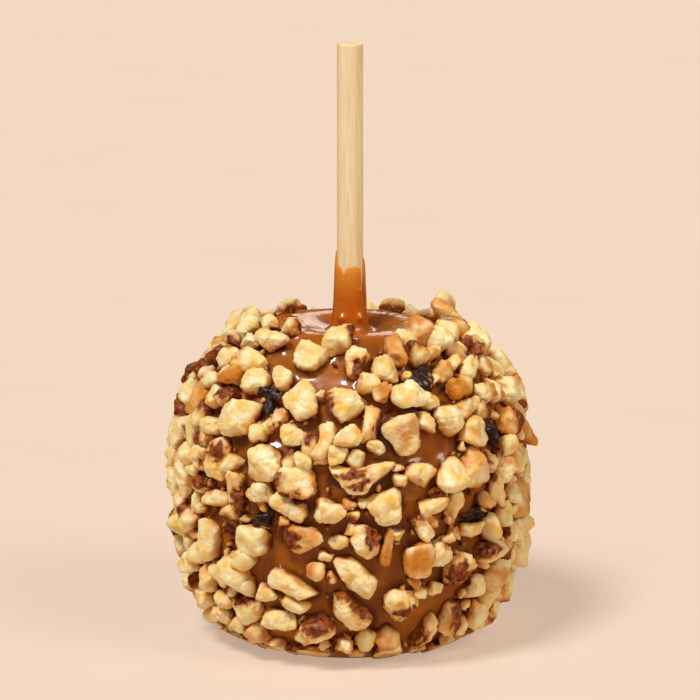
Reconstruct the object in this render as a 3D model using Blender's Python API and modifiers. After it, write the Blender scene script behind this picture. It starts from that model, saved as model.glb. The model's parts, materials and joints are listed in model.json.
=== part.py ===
"""Caramel apple on a wooden stick, rolled in chopped walnuts.

Metres, +Z up. The apple stands on its flattened foot at z = 0 and the stick rises on the Z axis.
The front is -Y. Longitude is in degrees round the apple from the front toward +X.

Sub-parts: the apple in its caramel coat, the stick, and every walnut piece as large as a berry.
Each walnut piece sits in a pocket of the coat, with a thin gap all round it.
"""

import math
import random
from typing import NamedTuple

import bmesh
import bpy
import numpy as np
from mathutils import Matrix, Vector, noise

MM = 0.001
GAP = 0.3
POCKET_CLEARANCE = 0.36

# Coated apple, in millimetres.
APPLE_RADIUS = 39.8
WAIST_HEIGHT = 43.5
UPPER_HALF_HEIGHT = 37.1
UPPER_POWER = 2.2
LOWER_HALF_HEIGHT = 48.5
LOWER_POWER = 3.0
DIMPLE_DEPTH = 6.7
DIMPLE_WIDTH = 11.0
APPLE_SIDES = 36
FLANK_STEPS = 11
CROWN_STEPS = 8

# Caramel drawn up the stick.
COLLAR_RADIUS = 3.95
COLLAR_FLARE = 2.1
COLLAR_FLARE_HEIGHT = 1.6
COLLAR_FOOT = 75.5
COLLAR_TOP = 92.0
COLLAR_LIP_RADIUS = 3.72
COLLAR_STEPS = 5

# Stick.
STICK_RADIUS = 3.175
STICK_LENGTH = 114.3
STICK_TOP = 146.0
STICK_SIDES = 24
STICK_EDGE = 0.35
STICK_HOLE_RADIUS = STICK_RADIUS + GAP + 0.03

# Walnut pieces.
EMBEDDED_DEPTH = 1.3
LEANING_LIFT = 0.55
LOWEST_WALNUT = 0.25
LUMP_HEIGHT = 0.13
LUMP_SCALE = 1.15
BACK_ROWS = ((9, 3), (22, 3), (36, 4), (49, 3), (61, 3), (72, 2))
BACK_SPREAD = 165.0


class Form(NamedTuple):
    """How a plain rounded block is changed into one sort of walnut piece."""

    squareness: float
    waist: float = 0.0
    taper: float = 0.0
    bend: float = 0.0


FORMS = {
    "block": Form(squareness=3.4),
    "lobe": Form(squareness=2.3, taper=0.1),
    "bar": Form(squareness=3.0, waist=0.12),
    "bone": Form(squareness=2.8, waist=0.3),
    "wedge": Form(squareness=2.9, taper=0.38),
    "crescent": Form(squareness=2.8, waist=0.1, bend=0.42),
    "slab": Form(squareness=3.8, taper=0.15),
}


class Finish(NamedTuple):
    """Colour and roughness of one material."""

    color: tuple
    roughness: float


FINISHES = {
    "caramel": Finish((0.36, 0.13, 0.03), 0.22),
    "stick_wood": Finish((0.80, 0.60, 0.36), 0.6),
    "kernel_pale": Finish((0.78, 0.56, 0.25), 0.55),
    "kernel_toasted": Finish((0.62, 0.33, 0.09), 0.5),
    "kernel_skin": Finish((0.36, 0.14, 0.04), 0.5),
    "kernel_dark": Finish((0.05, 0.03, 0.04), 0.3),
}


class Walnut(NamedTuple):
    """One large walnut piece: where it sits, its size in millimetres, its form and its finish.

    `tilt` is the angle of its long axis above the level, `depth` its thickness outward, and `lean`
    the angle by which that end of its long axis stands away from the coat.
    """

    longitude: float
    height: float
    length: float
    breadth: float
    tilt: float
    form: str = "block"
    finish: str = "kernel_pale"
    depth: float = 6.0
    lean: float = 0.0


FRONT_WALNUTS = (
    Walnut(4, 48.5, 17.0, 6.6, 2, "crescent", depth=6.2),
    Walnut(1, 15.5, 14.5, 7.6, -38, "lobe", "kernel_skin", 6.4),
    Walnut(2, 24.9, 11.6, 6.6, -44, "bar", depth=6.2),
    Walnut(-19, 21.5, 13.4, 8.2, -24, "bone", depth=6.4),
    Walnut(-17, 34, 13.4, 6.0, 0, "lobe", "kernel_skin", 5.2),
    Walnut(-42, 59, 11.6, 8.8, 88, "block", depth=6.6),
    Walnut(-31, 51, 10.6, 8.8, 0, "block", depth=6.4),
    Walnut(-20, 41.8, 10.4, 6.0, -20, "bar", depth=5.6),
    Walnut(44, 47, 11.6, 8.2, 80, "lobe", "kernel_toasted", 6.4),
    Walnut(-55, 30, 11.8, 7.0, 86, "bar", depth=6.0),
    Walnut(-18.4, 64, 10.4, 6.6, -66, "wedge", depth=6.0),
    Walnut(-48.5, 49.5, 8.4, 6.0, 86, "block", depth=5.8),
    Walnut(-86, 50, 10.6, 7.2, 80, "lobe", depth=6.0),
    Walnut(76, 35, 11.8, 7.2, 84, "lobe", "kernel_toasted", 6.0),
    Walnut(12, 41.2, 8.6, 7.4, 20, "block", depth=6.2),
    Walnut(18, 57.5, 9.8, 9.2, -72, "wedge", "kernel_toasted", 6.2),
    Walnut(24, 48.7, 8.6, 5.4, -25, "bar", depth=5.4),
    Walnut(-2.4, 64.2, 8.8, 8.0, 15, "block", depth=6.2),
    Walnut(-51, 74.8, 12.4, 7.2, -10, "bone", depth=6.0),
    Walnut(-66, 70, 8.6, 6.0, 5, "wedge", "kernel_skin", 5.4),
    Walnut(-41, 67.5, 8.8, 5.6, 10, "wedge", depth=5.6),
    Walnut(-15, 4.6, 9.8, 6.6, -22, "bone", depth=5.8),
    Walnut(16, 4.4, 8.5, 6.8, 15, "block", depth=5.8),
    Walnut(4.6, 33.6, 7.6, 6.6, 70, "block", depth=6.0),
    Walnut(18, 18, 8.6, 7.6, 30, "lobe", depth=6.0),
    Walnut(39, 24.5, 11.0, 6.2, 25, "bar", depth=5.8),
    Walnut(97, 75.4, 11.0, 5.8, 88, "lobe", "kernel_toasted", 5.4, 30),
    Walnut(-21, 73, 8.4, 7.0, 80, "block", depth=6.0),
    Walnut(2, 72.3, 8.8, 6.6, 68, "bone", depth=6.0),
    Walnut(16, 70.6, 8.4, 5.8, 86, "lobe", "kernel_toasted", 5.6),
    Walnut(82, 61, 8.2, 7.2, 10, "slab", depth=6.4),
    Walnut(86, 49.6, 10.8, 5.8, -88, "wedge", "kernel_toasted", 5.4, 36),
    Walnut(37, 60, 8.6, 6.4, 80, "block", depth=6.0),
    Walnut(-50, 40, 10.0, 4.8, 0, "bar", depth=4.8),
    Walnut(-71, 60.6, 9.4, 6.0, 86, "bar", "kernel_toasted", 5.6),
    Walnut(-71, 42, 9.0, 6.6, 84, "block", depth=6.0),
    Walnut(-40, 15, 7.8, 7.2, 45, "wedge", depth=6.0),
    Walnut(63, 46, 8.0, 7.4, 0, "lobe", depth=6.2),
)


def apple_radius(height):
    """Radius of the coat at a height: one rounded curve above the waist, a fuller one below it."""
    if height > WAIST_HEIGHT:
        share = (height - WAIST_HEIGHT) / UPPER_HALF_HEIGHT
        power = UPPER_POWER
    else:
        share = (WAIST_HEIGHT - height) / LOWER_HALF_HEIGHT
        power = LOWER_POWER
    return APPLE_RADIUS * (1 - share**power) ** (1 / power)


def crown_height(radius):
    """Height of the coat over the shoulder, with the shallow dimple round the stick."""
    share = (radius / APPLE_RADIUS) ** UPPER_POWER
    dome = WAIST_HEIGHT + UPPER_HALF_HEIGHT * (1 - share) ** (1 / UPPER_POWER)
    return dome - DIMPLE_DEPTH * math.exp(-((radius / DIMPLE_WIDTH) ** 2))


def collar_radius(height):
    """Radius of the caramel on the stick, flaring out into the dimple."""
    flare = COLLAR_FLARE * math.exp(-(height - COLLAR_FOOT) / COLLAR_FLARE_HEIGHT)
    return COLLAR_RADIUS + flare


def spaced(start, stop, steps):
    """Even steps from start to stop, both included."""
    return [float(value) for value in np.linspace(start, stop, steps)]


def coat_profile():
    """(radius, height) pairs down the outer side, from the top of the collar to the foot."""
    shoulder_radius = apple_radius(WAIST_HEIGHT + 0.72 * UPPER_HALF_HEIGHT)
    shoulder_height = crown_height(shoulder_radius)
    collar = [
        (collar_radius(height), height)
        for height in spaced(COLLAR_TOP - 1.4, COLLAR_FOOT, COLLAR_STEPS)
    ]
    crown = [
        (radius, crown_height(radius))
        for radius in spaced(collar_radius(COLLAR_FOOT) + 1.4, shoulder_radius, CROWN_STEPS)
    ]
    flank = [(apple_radius(z), z) for z in spaced(shoulder_height - 3.0, 0.0, FLANK_STEPS)]
    return [(0.0, COLLAR_TOP), (COLLAR_LIP_RADIUS, COLLAR_TOP), *collar, *crown, *flank, (0.0, 0.0)]


def surface_frame(longitude, height):
    """The point of the coat at a longitude and height, with its level, uphill and outward axes."""
    slope_step = 0.25
    radius = apple_radius(height)
    run = apple_radius(height + slope_step) - apple_radius(height - slope_step)
    turn = math.radians(longitude)
    away = Vector((math.sin(turn), -math.cos(turn), 0))
    level = Vector((math.cos(turn), math.sin(turn), 0))
    uphill = (away * run + Vector((0, 0, 2 * slope_step))).normalized()
    outward = level.cross(uphill).normalized()
    return away * radius + Vector((0, 0, height)), level, uphill, outward


def walnut_matrix(walnut):
    """Places a walnut piece with its long axis tilted in the surface, leaning, and its depth outward."""
    point, level, uphill, outward = surface_frame(walnut.longitude, walnut.height)
    tilt = math.radians(walnut.tilt)
    lean = math.radians(walnut.lean)
    flat = level * math.cos(tilt) + uphill * math.sin(tilt)
    lift = LEANING_LIFT * walnut.length / 2 * math.sin(lean)
    middle = point + outward * (walnut.depth / 2 - EMBEDDED_DEPTH + lift)
    along = flat * math.cos(lean) + outward * math.sin(lean)
    outward = outward * math.cos(lean) - flat * math.sin(lean)
    across = outward.cross(along)
    matrix = Matrix((along, across, outward)).transposed().to_4x4()
    matrix.translation = middle
    return matrix


def shaped_point(direction, walnut, seed):
    """The point of a walnut piece in one direction from its middle, in its own axes."""
    form = FORMS[walnut.form]
    power = form.squareness
    reach = sum(abs(part) ** power for part in direction) ** (-1 / power)
    lump = noise.noise(direction * LUMP_SCALE + Vector((seed * 3.7, seed * 1.3, 0)))
    along, across, outward = direction * reach * (1 + LUMP_HEIGHT * 2 * lump)
    girth = (1 - form.waist * (1 - along**2)) * (1 - form.taper * along)
    bow = form.bend * (along**2 - 0.35)
    return Vector(
        (
            along * walnut.length / 2,
            (across * girth + bow) * walnut.breadth / 2,
            outward * girth * walnut.depth / 2,
        )
    )


def walnut_mesh(name, walnut, seed, clearance=0.0):
    """A lumpy piece, kept above the ground and grown outward by the clearance."""
    bm = bmesh.new()
    bmesh.ops.create_icosphere(bm, subdivisions=2, radius=1.0)
    matrix = walnut_matrix(walnut)
    for vert in bm.verts:
        vert.co = matrix @ shaped_point(vert.co.normalized(), walnut, seed)
        vert.co.z = max(vert.co.z, LOWEST_WALNUT)
    bm.normal_update()
    grown = [vert.co + vert.normal * clearance for vert in bm.verts]
    for vert, place in zip(bm.verts, grown):
        vert.co = place * MM
    mesh = bpy.data.meshes.new(name)
    bm.to_mesh(mesh)
    bm.free()
    return mesh


def back_walnuts():
    """Pieces in staggered rows round the far side."""
    chance = random.Random(11)
    kinds = ("block", "lobe", "bar", "wedge", "bone")
    finishes = ("kernel_pale", "kernel_pale", "kernel_toasted", "kernel_skin")
    pieces = []
    for row, (height, count) in enumerate(BACK_ROWS):
        for place in range(count):
            share = (place + 0.5) / count - 0.5 + chance.uniform(-0.06, 0.06)
            pieces.append(
                Walnut(
                    longitude=180 + BACK_SPREAD * share,
                    height=height + chance.uniform(-2, 2),
                    length=chance.uniform(8.5, 12.5),
                    breadth=chance.uniform(6.2, 8.4),
                    tilt=chance.uniform(-80, 80),
                    form=kinds[(row * 2 + place) % len(kinds)],
                    finish=finishes[(row + place) % len(finishes)],
                    depth=chance.uniform(5.4, 6.6),
                )
            )
    return pieces


def make_material(name):
    finish = FINISHES[name]
    material = bpy.data.materials.new(name)
    material.use_nodes = True
    shader = material.node_tree.nodes["Principled BSDF"]
    shader.inputs["Base Color"].default_value = (*finish.color, 1.0)
    shader.inputs["Roughness"].default_value = finish.roughness
    shader.inputs["Metallic"].default_value = 0.0
    return material


def make_collection(name):
    collection = bpy.data.collections.new(name)
    bpy.context.scene.collection.children.link(collection)
    return collection


def add_object(name, mesh, collection, material=None):
    obj = bpy.data.objects.new(name, mesh)
    collection.objects.link(obj)
    if material is not None:
        mesh.materials.append(material)
    return obj


def add_cutter(name, mesh, collection):
    cutter = add_object(name, mesh, collection)
    cutter.hide_render = True
    cutter.display_type = "WIRE"
    return cutter


def cylinder_mesh(name, radius, bottom, top, sides):
    bm = bmesh.new()
    bmesh.ops.create_cone(
        bm,
        cap_ends=True,
        segments=sides,
        radius1=radius * MM,
        radius2=radius * MM,
        depth=(top - bottom) * MM,
        matrix=Matrix.Translation((0, 0, (top + bottom) / 2 * MM)),
    )
    mesh = bpy.data.meshes.new(name)
    bm.to_mesh(mesh)
    bm.free()
    return mesh


def shade_smooth(mesh):
    mesh.polygons.foreach_set("use_smooth", [True] * len(mesh.polygons))


def make_stick(collection):
    bottom = STICK_TOP - STICK_LENGTH
    mesh = cylinder_mesh("stick", STICK_RADIUS, bottom, STICK_TOP, STICK_SIDES)
    stick = add_object("stick", mesh, collection, make_material("stick_wood"))
    edge = stick.modifiers.new("eased_ends", "BEVEL")
    edge.width = STICK_EDGE * MM
    edge.segments = 1
    edge.limit_method = "ANGLE"
    return stick


def make_coated_apple(collection, cutters):
    """The apple and its caramel as one solid of revolution, with its pockets and stick hole cut."""
    points = [(radius * MM, 0.0, height * MM) for radius, height in coat_profile()]
    edges = [(index, index + 1) for index in range(len(points) - 1)]
    mesh = bpy.data.meshes.new("coated_apple")
    mesh.from_pydata(points, edges, [])
    apple = add_object("coated_apple", mesh, collection, make_material("caramel"))
    turn = apple.modifiers.new("turned", "SCREW")
    turn.axis = "Z"
    turn.steps = APPLE_SIDES
    turn.render_steps = APPLE_SIDES
    turn.use_merge_vertices = True
    turn.merge_threshold = 0.00001
    turn.use_smooth_shade = True
    cut = apple.modifiers.new("pockets", "BOOLEAN")
    cut.operation = "DIFFERENCE"
    cut.operand_type = "COLLECTION"
    cut.collection = cutters
    cut.solver = "EXACT"
    return apple


def make_walnuts(collection, cutters):
    """Every large walnut piece, and the cutter that makes its pocket."""
    for number, walnut in enumerate([*FRONT_WALNUTS, *back_walnuts()], start=1):
        name = f"walnut_{number:02d}"
        mesh = walnut_mesh(name, walnut, number)
        shade_smooth(mesh)
        add_object(name, mesh, collection, make_material(walnut.finish))
        pocket = walnut_mesh(f"pocket_{number:02d}", walnut, number, POCKET_CLEARANCE)
        add_cutter(f"pocket_{number:02d}", pocket, cutters)


def clear_scene():
    for obj in list(bpy.data.objects):
        bpy.data.objects.remove(obj, do_unlink=True)


def main():
    clear_scene()
    parts = make_collection("caramel_apple")
    cutters = make_collection("cutters")
    make_walnuts(parts, cutters)
    hole_bottom = STICK_TOP - STICK_LENGTH - GAP
    hole = cylinder_mesh("stick_hole", STICK_HOLE_RADIUS, hole_bottom, COLLAR_TOP + 5, APPLE_SIDES)
    add_cutter("stick_hole", hole, cutters)
    make_coated_apple(parts, cutters)
    make_stick(parts)


main()
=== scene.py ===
"""Fine model of a caramel apple on a stick, rolled in chopped walnuts.

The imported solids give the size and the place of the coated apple, the stick and the largest walnut
pieces. Each of them is replaced by a fine surface, and the smaller walnut pieces, slivers and crumbs
that lie between them are added here. Lengths are in millimetres up to the moment a mesh is written.
The front of the apple is -Y, and a longitude is in degrees round it from the front toward +X.
"""

import json
import logging
import math
from dataclasses import dataclass, field
from enum import Enum
from itertools import product
from typing import ClassVar

import bpy
import numpy as np
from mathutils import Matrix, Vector


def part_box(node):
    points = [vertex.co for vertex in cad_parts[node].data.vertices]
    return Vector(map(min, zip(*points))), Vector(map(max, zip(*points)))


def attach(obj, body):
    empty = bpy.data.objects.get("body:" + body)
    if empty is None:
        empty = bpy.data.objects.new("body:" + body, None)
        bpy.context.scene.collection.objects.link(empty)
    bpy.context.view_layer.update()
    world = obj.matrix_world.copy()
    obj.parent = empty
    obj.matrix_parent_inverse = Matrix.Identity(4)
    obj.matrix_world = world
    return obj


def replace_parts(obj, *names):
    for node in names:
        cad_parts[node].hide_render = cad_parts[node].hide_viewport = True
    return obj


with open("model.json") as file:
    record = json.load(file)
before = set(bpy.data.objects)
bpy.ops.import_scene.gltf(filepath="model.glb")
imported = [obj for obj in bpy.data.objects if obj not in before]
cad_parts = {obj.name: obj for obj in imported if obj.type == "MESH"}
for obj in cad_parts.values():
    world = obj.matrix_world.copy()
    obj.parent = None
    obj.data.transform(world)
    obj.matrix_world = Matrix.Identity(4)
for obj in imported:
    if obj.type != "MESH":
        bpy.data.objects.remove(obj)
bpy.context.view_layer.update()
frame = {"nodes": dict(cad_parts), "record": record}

MM = 0.001
BODY = "root"
LOG = logging.getLogger("caramel_apple")
Array = np.ndarray
Color = tuple[float, float, float]
CORNER_PRIMES = (73856093, 19349663, 83492791)
SEED_PRIME = 40503
MIXING_PRIMES = (1274126177, 2246822519)


def linear(red: float, green: float, blue: float) -> Color:
    """Turns a display colour in 0..255 into the linear colour that a shader takes.

    Args:
        red: Display red.
        green: Display green.
        blue: Display blue.

    Returns:
        The linear red, green and blue in 0..1.
    """
    values = np.array((red, green, blue)) / 255
    low = values / 12.92
    high = ((values + 0.055) / 1.055) ** 2.4
    return tuple(float(value) for value in np.where(values <= 0.04045, low, high))


# ---------------------------------------------------------------------------------------------
# Noise and grids
# ---------------------------------------------------------------------------------------------


def lattice_noise(points: Array, seed: int) -> Array:
    """Smooth noise: a random value at every whole-number corner, blended between the corners.

    Args:
        points: Places of any leading shape, with the last axis x, y and z.
        seed: Picks one pattern.

    Returns:
        Values in -1..1, one for each place.
    """
    cell = np.floor(points).astype(np.int64)
    share = points - cell
    share = share * share * (3 - 2 * share)
    total = np.zeros(points.shape[:-1])
    for corner in product((0, 1), repeat=3):
        at = cell + np.array(corner)
        x, y, z = (at[..., axis] * CORNER_PRIMES[axis] for axis in range(3))
        mixed = x ^ y ^ z ^ seed * SEED_PRIME
        mixed = (mixed ^ (mixed >> 13)) * MIXING_PRIMES[0]
        mixed = (mixed ^ (mixed >> 16)) * MIXING_PRIMES[1]
        value = ((mixed >> 8) & 0xFFFF) / 32767.5 - 1
        weight = np.where(corner, share, 1 - share).prod(axis=-1)
        total += value * weight
    return total


def rough_noise(points: Array, seed: int, octaves: int = 3) -> Array:
    """Sum of lattice noises, each of half the size and half the height of the one before.

    Args:
        points: Places with the last axis x, y and z.
        seed: Picks one pattern.
        octaves: How many sizes are summed.

    Returns:
        Values in about -1..1, one for each place.
    """
    total = np.zeros(points.shape[:-1])
    for octave in range(octaves):
        total += lattice_noise(points * 2**octave, seed + 17 * octave) / 2**octave
    return total / (2 - 2 ** (1 - octaves))


def smooth_step(low: float | Array, high: float | Array, value: Array) -> Array:
    """Rises from 0 at low to 1 at high along a smooth curve, for arrays of any shape."""
    share = np.clip((value - low) / (high - low), 0, 1)
    return share * share * (3 - 2 * share)


def ball_directions(rings: int, columns: int) -> Array:
    """Unit directions of a globe: one pole, rings of evenly turned points, the other pole.

    The direction at polar angle a and turn t is (cos a, sin a cos t, sin a sin t), so the poles lie
    on the long axis of a piece.

    Args:
        rings: Rings between the poles.
        columns: Points on each ring.

    Returns:
        An array of (rings * columns + 2) unit directions.
    """
    polar, turn = np.meshgrid(
        np.linspace(0, np.pi, rings + 2)[1:-1],
        np.linspace(0, 2 * np.pi, columns, endpoint=False),
        indexing="ij",
    )
    ring = np.stack((np.cos(polar), np.sin(polar) * np.cos(turn), np.sin(polar) * np.sin(turn)), -1)
    return np.concatenate(([[1.0, 0, 0]], ring.reshape(-1, 3), [[-1.0, 0, 0]]))


def globe_triangles(rings: int, columns: int) -> Array:
    """Triangles between the poles and rings of a globe, facing outward.

    Args:
        rings: Rings between the poles.
        columns: Points on each ring.

    Returns:
        An array of vertex numbers, three for each triangle.
    """
    ring, column = np.meshgrid(np.arange(rings - 1), np.arange(columns), indexing="ij")
    after = (column + 1) % columns
    a = 1 + ring * columns + column
    b = 1 + (ring + 1) * columns + column
    c = 1 + (ring + 1) * columns + after
    d = 1 + ring * columns + after
    walls = np.concatenate((np.stack((a, b, c), -1), np.stack((a, c, d), -1))).reshape(-1, 3)
    column = np.arange(columns)
    after = (column + 1) % columns
    last = 1 + (rings - 1) * columns
    first_pole = np.stack((np.zeros_like(column), 1 + column, 1 + after), -1)
    last_pole = np.stack((np.full_like(column, last + columns), last + after, last + column), -1)
    return np.concatenate((walls, first_pole, last_pole))


def add_piece(
    name: str,
    points: Array,
    triangles: Array,
    material: bpy.types.Material,
    channels: Array | None = None,
) -> bpy.types.Object:
    """Writes one closed mesh, dresses it and fixes it to the apple.

    Args:
        name: Name of the piece.
        points: Vertex places in millimetres.
        triangles: Vertex numbers, three for each triangle.
        material: The finish.
        channels: Four values for each vertex that the finish reads as the attribute "channels".

    Returns:
        The new object.
    """
    mesh = bpy.data.meshes.new(name)
    mesh.from_pydata(points * MM, [], triangles)
    mesh.polygons.foreach_set("use_smooth", np.ones(len(triangles), dtype=bool))
    if channels is not None:
        layer = mesh.attributes.new("channels", "FLOAT_COLOR", "POINT")
        layer.data.foreach_set("color", np.ascontiguousarray(channels, dtype=np.float32).ravel())
    mesh.materials.append(material)
    piece = bpy.data.objects.new(name, mesh)
    bpy.context.scene.collection.objects.link(piece)
    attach(piece, BODY)
    LOG.info("%s: %d triangles", name, len(triangles))
    return piece


# ---------------------------------------------------------------------------------------------
# Finishes
# ---------------------------------------------------------------------------------------------


class Blended(Enum):
    """What a mix node blends: its data type, its first input for a value, and its output."""

    COLOR = ("RGBA", 6, 2)
    NUMBER = ("FLOAT", 2, 0)


@dataclass
class NodeSheet:
    """Short way to lay out one material's nodes."""

    material: bpy.types.Material
    tree: bpy.types.NodeTree = field(init=False)
    shader: bpy.types.Node = field(init=False)

    def __post_init__(self) -> None:
        """Gives the material its node tree and keeps its shader at hand."""
        self.material.use_nodes = True
        self.tree = self.material.node_tree
        self.shader = self.tree.nodes["Principled BSDF"]

    def node(self, kind: str, **settings: object) -> bpy.types.Node:
        """Adds a node and sets its properties, or the inputs of that name.

        Args:
            kind: Blender's name of the node type.
            settings: Properties or inputs, by name.

        Returns:
            The node.
        """
        node = self.tree.nodes.new(kind)
        for key, value in settings.items():
            if hasattr(node, key):
                setattr(node, key, value)
            else:
                node.inputs[key].default_value = value
        return node

    def link(self, source: bpy.types.NodeSocket, target: bpy.types.NodeSocket) -> None:
        """Joins two sockets."""
        self.tree.links.new(source, target)

    def place(self, scale: tuple[float, float, float] = (1, 1, 1)) -> bpy.types.NodeSocket:
        """Object coordinates stretched by a scale on each axis.

        Args:
            scale: Stretch along x, y and z.

        Returns:
            The place.
        """
        coordinates = self.node("ShaderNodeTexCoord")
        mapping = self.node("ShaderNodeMapping")
        mapping.inputs["Scale"].default_value = scale
        self.link(coordinates.outputs["Object"], mapping.inputs["Vector"])
        return mapping.outputs["Vector"]

    def noise(self, scale: float, detail: float, place: bpy.types.NodeSocket) -> bpy.types.NodeSocket:
        """A noise value in 0..1 at a scale in cycles a metre.

        Args:
            scale: Cycles a metre.
            detail: How many finer layers are added.
            place: Where it is read.

        Returns:
            The noise.
        """
        node = self.node("ShaderNodeTexNoise", Scale=scale, Detail=detail)
        self.link(place, node.inputs["Vector"])
        return node.outputs["Fac"]

    def spread(
        self, value: bpy.types.NodeSocket, low: float, high: float, to_low: float = 0, to_high: float = 1
    ) -> bpy.types.NodeSocket:
        """Maps low..high on to another range, held at its ends.

        Args:
            value: The value to map.
            low: Start of its range.
            high: End of its range.
            to_low: Start of the new range.
            to_high: End of the new range.

        Returns:
            The mapped value.
        """
        node = self.node("ShaderNodeMapRange")
        self.link(value, node.inputs["Value"])
        for key, number in zip(
            ("From Min", "From Max", "To Min", "To Max"), (low, high, to_low, to_high)
        ):
            node.inputs[key].default_value = number
        return node.outputs["Result"]

    def mix(
        self, share: bpy.types.NodeSocket, ends: tuple[object, object], blended: Blended
    ) -> bpy.types.NodeSocket:
        """Goes from one end to the other as share goes from 0 to 1.

        Args:
            share: How far along.
            ends: The first and the last value, each a plain value or a socket.
            blended: Whether they are colours or numbers.

        Returns:
            The blended value.
        """
        kind, first_input, output = blended.value
        node = self.node("ShaderNodeMix", data_type=kind)
        self.link(share, node.inputs[0])
        for value, socket in zip(ends, node.inputs[first_input : first_input + 2]):
            if isinstance(value, bpy.types.NodeSocket):
                self.link(value, socket)
            else:
                socket.default_value = (*value, 1) if blended is Blended.COLOR else value
        return node.outputs[output]

    def blend(
        self,
        share: bpy.types.NodeSocket,
        first: Color | bpy.types.NodeSocket,
        second: Color | bpy.types.NodeSocket,
    ) -> bpy.types.NodeSocket:
        """Colour that goes from first to second as share goes from 0 to 1."""
        return self.mix(share, (first, second), Blended.COLOR)

    def blend_value(
        self,
        share: bpy.types.NodeSocket,
        first: float | bpy.types.NodeSocket,
        second: float | bpy.types.NodeSocket,
    ) -> bpy.types.NodeSocket:
        """Number that goes from first to second as share goes from 0 to 1."""
        return self.mix(share, (first, second), Blended.NUMBER)

    def channel(self, name: str) -> tuple[bpy.types.NodeSocket, ...]:
        """The four values of a vertex attribute.

        Args:
            name: Name of the attribute.

        Returns:
            Its red, green, blue and alpha.
        """
        attribute = self.node("ShaderNodeAttribute", attribute_name=name)
        split = self.node("ShaderNodeSeparateColor")
        self.link(attribute.outputs["Color"], split.inputs["Color"])
        return (*split.outputs, attribute.outputs["Alpha"])

    def bump(self, height: bpy.types.NodeSocket, strength: float, distance: float) -> None:
        """Raises the surface by a height, over a distance in metres.

        Args:
            height: Height in 0..1.
            strength: Share of the effect.
            distance: Rise in metres.
        """
        node = self.node("ShaderNodeBump", Strength=strength, Distance=distance)
        self.link(height, node.inputs["Height"])
        self.link(node.outputs["Normal"], self.shader.inputs["Normal"])

    def subsurface(self, weight: float, radius: Color, scale: float) -> None:
        """Lets light into the material by a share, to a depth for each colour.

        Args:
            weight: Share of the light.
            radius: Depth of red, green and blue against each other.
            scale: Depth in metres.
        """
        self.shader.inputs["Subsurface Weight"].default_value = weight
        self.shader.inputs["Subsurface Radius"].default_value = radius
        self.shader.inputs["Subsurface Scale"].default_value = scale


@dataclass(frozen=True)
class CaramelFinish:
    """Soft brown caramel, satin under a clear gloss, and amber to golden where it thins up the wood.

    The attribute "channels" holds the share of the film's height first, and then how near a walnut
    piece the caramel lies, where it is painted dark: thicker caramel there, and painted shade between
    the pieces.
    """

    thick: Color = linear(180, 104, 16)
    thick_dark: Color = linear(146, 74, 6)
    # Dark caramel next to the walnut pieces: thicker caramel, and painted shade between them.
    pooled_and_shade: Color = linear(98, 44, 10)
    film: Color = linear(208, 102, 0)
    thin: Color = linear(236, 152, 44)
    body_roughness: float = 0.26
    gloss_roughness: float = 0.06
    gloss: float = 0.9
    ior: float = 1.49
    cloud_scale: float = 90
    streak_scale: float = 1100
    haze_scale: float = 420
    ripple_scale: float = 190

    def build(self) -> bpy.types.Material:
        """Makes the material.

        Returns:
            The material.
        """
        sheet = NodeSheet(bpy.data.materials.new("soft_caramel"))
        place = sheet.place()
        thinness, shade_near_walnuts = sheet.channel("channels")[:2]
        broad = sheet.spread(sheet.noise(self.cloud_scale, 3, place), 0.35, 0.65)
        brown = sheet.blend(broad, self.thick, self.thick_dark)
        # Painted shade: the caramel next to each walnut piece is painted dark, partly for its thicker pool.
        brown = sheet.blend(shade_near_walnuts, brown, self.pooled_and_shade)
        amber = sheet.blend(sheet.spread(thinness, 0.0, 0.25), brown, self.film)
        streak = sheet.noise(self.streak_scale, 3, sheet.place((1, 1, 0.16)))
        golden = sheet.blend_value(streak, 0.62, 0.5)
        top = sheet.node("ShaderNodeMath", operation="SUBTRACT")
        sheet.link(thinness, top.inputs[0])
        sheet.link(golden, top.inputs[1])
        amber = sheet.blend(sheet.spread(top.outputs[0], -0.05, 0.4), amber, self.thin)
        sheet.link(amber, sheet.shader.inputs["Base Color"])
        haze = sheet.noise(self.haze_scale, 3, place)
        roughness = sheet.spread(haze, 0.3, 0.7, self.body_roughness, self.body_roughness + 0.12)
        sheet.link(roughness, sheet.shader.inputs["Roughness"])
        sheet.shader.inputs["IOR"].default_value = self.ior
        sheet.shader.inputs["Coat Weight"].default_value = self.gloss
        sheet.shader.inputs["Coat Roughness"].default_value = self.gloss_roughness
        sheet.subsurface(0.2, (1.0, 0.45, 0.12), 0.0018)
        sheet.bump(sheet.noise(self.ripple_scale, 2, place), 0.25, 0.0006)
        return sheet.material


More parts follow.
